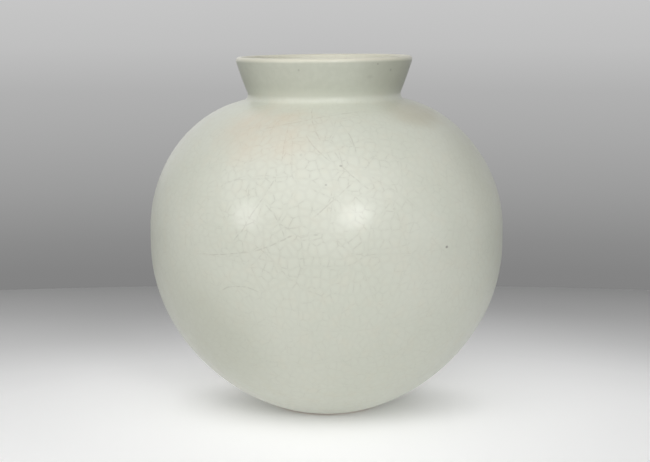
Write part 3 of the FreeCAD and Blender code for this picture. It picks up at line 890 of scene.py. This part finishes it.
def build_floor():
    """A pale disc with a painted glow, a painted pool of light and a painted shadow under the jar's belly. It
    is clear when it is seen from below.
    """
    bpy.ops.object.select_all(action="DESELECT")
    bpy.ops.mesh.primitive_circle_add(vertices=128, radius=1, fill_type="NGON", location=FLOOR_MIDDLE)
    floor = bpy.context.object
    floor.name = "floor"
    floor.scale = FLOOR_REACH
    bpy.ops.object.transform_apply()
    material, tree, shader = new_material("pale_floor")
    position = add(tree, "ShaderNodeTexCoord").outputs["Object"]
    apart = vectors(tree, "SUBTRACT", position, FLOOR_MIDDLE)
    tone = toned_ramp(tree, length_of(tree, vectors(tree, "DIVIDE", apart, FLOOR_REACH)), FLOOR_FALLOFF_TONES)
    tree.links.new(tone, shader.inputs["Base Color"])
    lit = maths(tree, "ADD", patch(tree, position, LIGHT_POOL), OUT_OF_POOL)
    by_camera = add(tree, "ShaderNodeLightPath").outputs["Is Camera Ray"]
    shaded = maths(tree, "MULTIPLY_ADD", patch(tree, position, UNDER_BELLY), by_camera, 1.0)
    share = maths(tree, "MULTIPLY", lit, shaded)
    tree.links.new(vectors(tree, "MULTIPLY", tone, share), shader.inputs["Emission Color"])
    # Painted light: the floor glows though it is no lamp
    glow = maths(tree, "MULTIPLY_ADD", seen_directly(tree), FLOOR_GLOW_SEEN - FLOOR_GLOW, FLOOR_GLOW)
    tree.links.new(glow, shader.inputs["Emission Strength"])
    shader.inputs["Roughness"].default_value = FLOOR_ROUGHNESS
    clear = add(tree, "ShaderNodeBsdfTransparent")
    behind = add(tree, "ShaderNodeNewGeometry").outputs["Backfacing"]
    one_sided = add(tree, "ShaderNodeMixShader", {0: behind, 1: shader.outputs[0], 2: clear.outputs[0]})
    surface = next(node for node in tree.nodes if node.type == "OUTPUT_MATERIAL")
    tree.links.new(one_sided.outputs[0], surface.inputs["Surface"])
    floor.data.materials.append(material)


# The room: its soft light, and the greys between two heights of a line of sight
AMBIENT = 0.12
ROOM_LOWEST = -0.21
ROOM_HIGHEST = 0.02
ROOM_TONES = [
    (0.0, 0.222), (0.09, 0.231), (0.18, 0.257), (0.35, 0.33),
    (0.52, 0.39), (0.68, 0.44), (0.83, 0.525), (1.0, 0.57),
]


def build_room():
    """Soft light from all round, and the grey that the camera and reflections see behind the jar."""
    world = bpy.data.worlds.new("grey_room")
    bpy.context.scene.world = world
    world.use_nodes = True
    tree = world.node_tree
    tree.nodes.clear()
    direction = add(tree, "ShaderNodeTexCoord").outputs["Generated"]
    up = parts_of(tree, direction)[2]
    share = add(tree, "ShaderNodeMapRange", {0: up, 1: ROOM_LOWEST, 2: ROOM_HIGHEST}).outputs[0]
    tone = toned_ramp(tree, share, ROOM_TONES)
    shown = add(tree, "ShaderNodeBackground", {"Color": tone, "Strength": 1.0})
    soft = add(tree, "ShaderNodeBackground", {"Color": (1, 1, 1, 1), "Strength": AMBIENT})
    both = add(tree, "ShaderNodeMixShader", {0: seen_directly(tree), 1: soft.outputs[0], 2: shown.outputs[0]})
    add(tree, "ShaderNodeOutputWorld", {"Surface": both.outputs[0]})


LAMPS = [
    # name, degrees round from the front to the right, degrees up, distance, size, watts, tint
    ("left_window", -50, 17, 1.6, 0.45, 2.6, (1, 1, 1)),
    ("right_window", 18, 21, 1.9, 0.58, 6.7, (1, 1, 1)),
    ("front_low", 0, 5, 2.0, 1.0, 2.0, (1, 1, 1)),
    ("front_high", 0, 45, 2.0, 2.0, 6.7, (1, 1, 1)),
    ("left_high", -50, 45, 2.0, 2.2, 11.8, (1, 1, 1)),
    ("right_front", 28, 45, 2.0, 1.8, 6.3, (1, 1, 1)),
    ("right_low", 65, 8, 2.0, 0.9, 1.6, (0.88, 0.95, 1)),
    ("overhead", 0, 85, 2.0, 1.4, 2.0, (1, 1, 1)),
    ("back_fill", -155, 28, 2.0, 2.0, 3.2, (1, 1, 1)),
]


def hang_lamp(name, azimuth, elevation, distance, size, watts, tint):
    """A round soft lamp that shines at the belly's middle."""
    aim = Vector((0, 0, BELLY_HEIGHT))
    azimuth, elevation = math.radians(azimuth), math.radians(elevation)
    out = Vector((math.sin(azimuth) * math.cos(elevation), -math.cos(azimuth) * math.cos(elevation),
                  math.sin(elevation)))
    bpy.ops.object.light_add(type="AREA", location=aim + out * distance)
    lamp = bpy.context.object
    lamp.name = name
    lamp.data.shape = "DISK"
    lamp.data.size = size
    lamp.data.energy = watts
    lamp.data.color = tint
    lamp.rotation_euler = out.to_track_quat("Z", "Y").to_euler()


build_floor()
build_room()
for lamp in LAMPS:
    hang_lamp(*lamp)

# Camera

CAMERA_PLACE = (-0.00186, -1.500, BELLY_HEIGHT + 0.250)
CAMERA_PITCH = math.radians(9.357)
CAMERA_LENS = 70.67
CAMERA_SENSOR = 36

bpy.ops.object.camera_add(location=CAMERA_PLACE, rotation=(math.pi / 2 - CAMERA_PITCH, 0, 0))
camera = bpy.context.object
camera.data.lens = CAMERA_LENS
camera.data.sensor_width = CAMERA_SENSOR
bpy.context.scene.camera = camera
bpy.context.scene.view_settings.view_transform = "Standard"
